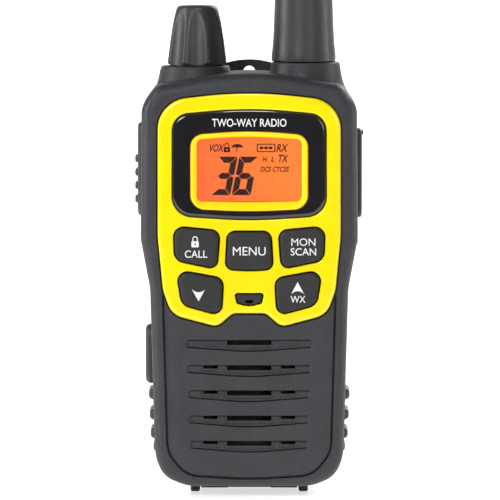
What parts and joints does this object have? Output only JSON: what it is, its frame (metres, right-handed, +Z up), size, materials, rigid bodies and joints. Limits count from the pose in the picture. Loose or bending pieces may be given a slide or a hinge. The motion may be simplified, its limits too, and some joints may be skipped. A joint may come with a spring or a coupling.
{
  "type": "handheld two-way radio",
  "caption": "Handheld two-way radio with a stub antenna, volume knob, backlit display, rubber keys, side talk button, slotted speaker grille, battery door and belt clip.",
  "frame": {"origin": "centre of the whole radio's footprint, on the surface its two feet stand on", "axes": "+Z up along the antenna, -Y out of the keypad face, +X to the antenna side as seen from the front"},
  "size_m": [0.0604, 0.041, 0.165],
  "materials": {
    "casing": "fine spark-eroded texture",
    "rubber": "matte",
    "key_rubber": "matte",
    "seal_rubber": "matte",
    "yellow_plastic": "gloss",
    "gloss_black": "gloss",
    "clear_window": "clear",
    "display_orange": "backlit",
    "white_plastic": "satin",
    "black_plastic": "satin",
    "steel": "satin",
    "nickel": "plated",
    "cone_paper": "matte",
    "board_green": "solder mask",
    "cell_wrap": "printed sleeve",
    "copper": "enamelled wire"
  },
  "bodies": {
    "radio": {"front_housing": "casing", "rear_housing": "casing", "side_grip_left": "rubber", "side_grip_right": "rubber", "housing_screw_upper_left": "steel", "housing_screw_upper_right": "steel", "housing_screw_lower_left": "steel", "housing_screw_lower_right": "steel", "yellow_bezel": "yellow_plastic", "display_panel": "gloss_black", "window_ring": "yellow_plastic", "display_window": "clear_window", "lcd_panel": "display_orange", "backlight_tray": "white_plastic", "keypad_mat": "seal_rubber", "mic_inset": "black_plastic", "mic_boot": "seal_rubber", "mic_capsule": "nickel", "grille_panel": "casing", "speaker_gasket": "seal_rubber", "speaker_frame": "steel", "speaker_cone": "cone_paper", "speaker_magnet": "nickel", "main_board": "board_green", "shield_can": "nickel", "volume_control": "black_plastic", "volume_nut": "steel", "antenna_base": "nickel", "antenna_coil": "copper", "antenna_sheath": "rubber", "cell_left": "cell_wrap", "cell_middle": "cell_wrap", "cell_right": "cell_wrap", "contact_minus": "nickel", "contact_link_lower": "nickel", "contact_link_upper": "nickel", "contact_plus": "nickel", "talk_switch": "black_plastic", "jack_cover_tether": "rubber", "headset_jack": "black_plastic", "microphone_jack": "black_plastic", "charge_connector": "nickel"},
    "call_key": {"call_key": "key_rubber"},
    "menu_key": {"menu_key": "key_rubber"},
    "monitor_key": {"monitor_key": "key_rubber"},
    "down_key": {"down_key": "key_rubber"},
    "up_key": {"up_key": "key_rubber"},
    "volume_knob": {"volume_knob": "casing", "volume_shaft": "steel"},
    "talk_button": {"talk_button": "rubber"},
    "jack_cover": {"jack_cover": "rubber"},
    "charge_cover": {"charge_cover": "rubber"},
    "battery_door": {"battery_door": "casing"},
    "battery_latch": {"battery_latch": "black_plastic"},
    "clip_bracket": {"clip_bracket": "black_plastic", "clip_pin": "steel", "clip_spring": "steel"},
    "belt_clip": {"belt_clip": "black_plastic"}
  },
  "joints": [
    {"name": "call_key_press", "type": "slide", "parent": "radio", "child": "call_key", "axis": [0, 1, 0], "range_m": [0, 0.0008], "stiffness_N_per_m": 1500},
    {"name": "menu_key_press", "type": "slide", "parent": "radio", "child": "menu_key", "axis": [0, 1, 0], "range_m": [0, 0.0008], "stiffness_N_per_m": 1500},
    {"name": "monitor_key_press", "type": "slide", "parent": "radio", "child": "monitor_key", "axis": [0, 1, 0], "range_m": [0, 0.0008], "stiffness_N_per_m": 1500},
    {"name": "down_key_press", "type": "slide", "parent": "radio", "child": "down_key", "axis": [0, 1, 0], "range_m": [0, 0.0008], "stiffness_N_per_m": 1500},
    {"name": "up_key_press", "type": "slide", "parent": "radio", "child": "up_key", "axis": [0, 1, 0], "range_m": [0, 0.0008], "stiffness_N_per_m": 1500},
    {"name": "volume_turn", "type": "hinge", "parent": "radio", "child": "volume_knob", "pos_m": [-0.0138, -0.001, 0.113], "axis": [0, 0, 1], "range_deg": [-220, 60]},
    {"name": "talk_press", "type": "slide", "parent": "radio", "child": "talk_button", "axis": [1, 0, 0], "range_m": [0, 0.001], "stiffness_N_per_m": 2000},
    {"name": "jack_cover_lift", "type": "hinge", "parent": "radio", "child": "jack_cover", "pos_m": [0.0298, -0.0025, 0.0726], "axis": [0, 1, 0], "range_deg": [0, 100], "stiffness_Nm_per_rad": 0.001},
    {"name": "charge_cover_lift", "type": "hinge", "parent": "radio", "child": "charge_cover", "pos_m": [-0.0274, -0.0066, 0.0287], "axis": [0, -1, 0], "range_deg": [0, 95], "stiffness_Nm_per_rad": 0.001},
    {"name": "battery_door_swing", "type": "hinge", "parent": "radio", "child": "battery_door", "pos_m": [0, 0.0087, 0.0594], "axis": [1, 0, 0], "range_deg": [0, 70]},
    {"name": "battery_latch_slide", "type": "slide", "parent": "battery_door", "child": "battery_latch", "axis": [0, 0, 1], "range_m": [0, 0.0018], "stiffness_N_per_m": 800},
    {"name": "bracket_slide", "type": "slide", "parent": "radio", "child": "clip_bracket", "axis": [0, 0, 1], "range_m": [0, 0.0145]},
    {"name": "clip_squeeze", "type": "hinge", "parent": "clip_bracket", "child": "belt_clip", "pos_m": [0, 0.0158, 0.093], "axis": [1, 0, 0], "range_deg": [0, 18], "stiffness_Nm_per_rad": 0.35, "springref_deg": -17.19}
  ]
}
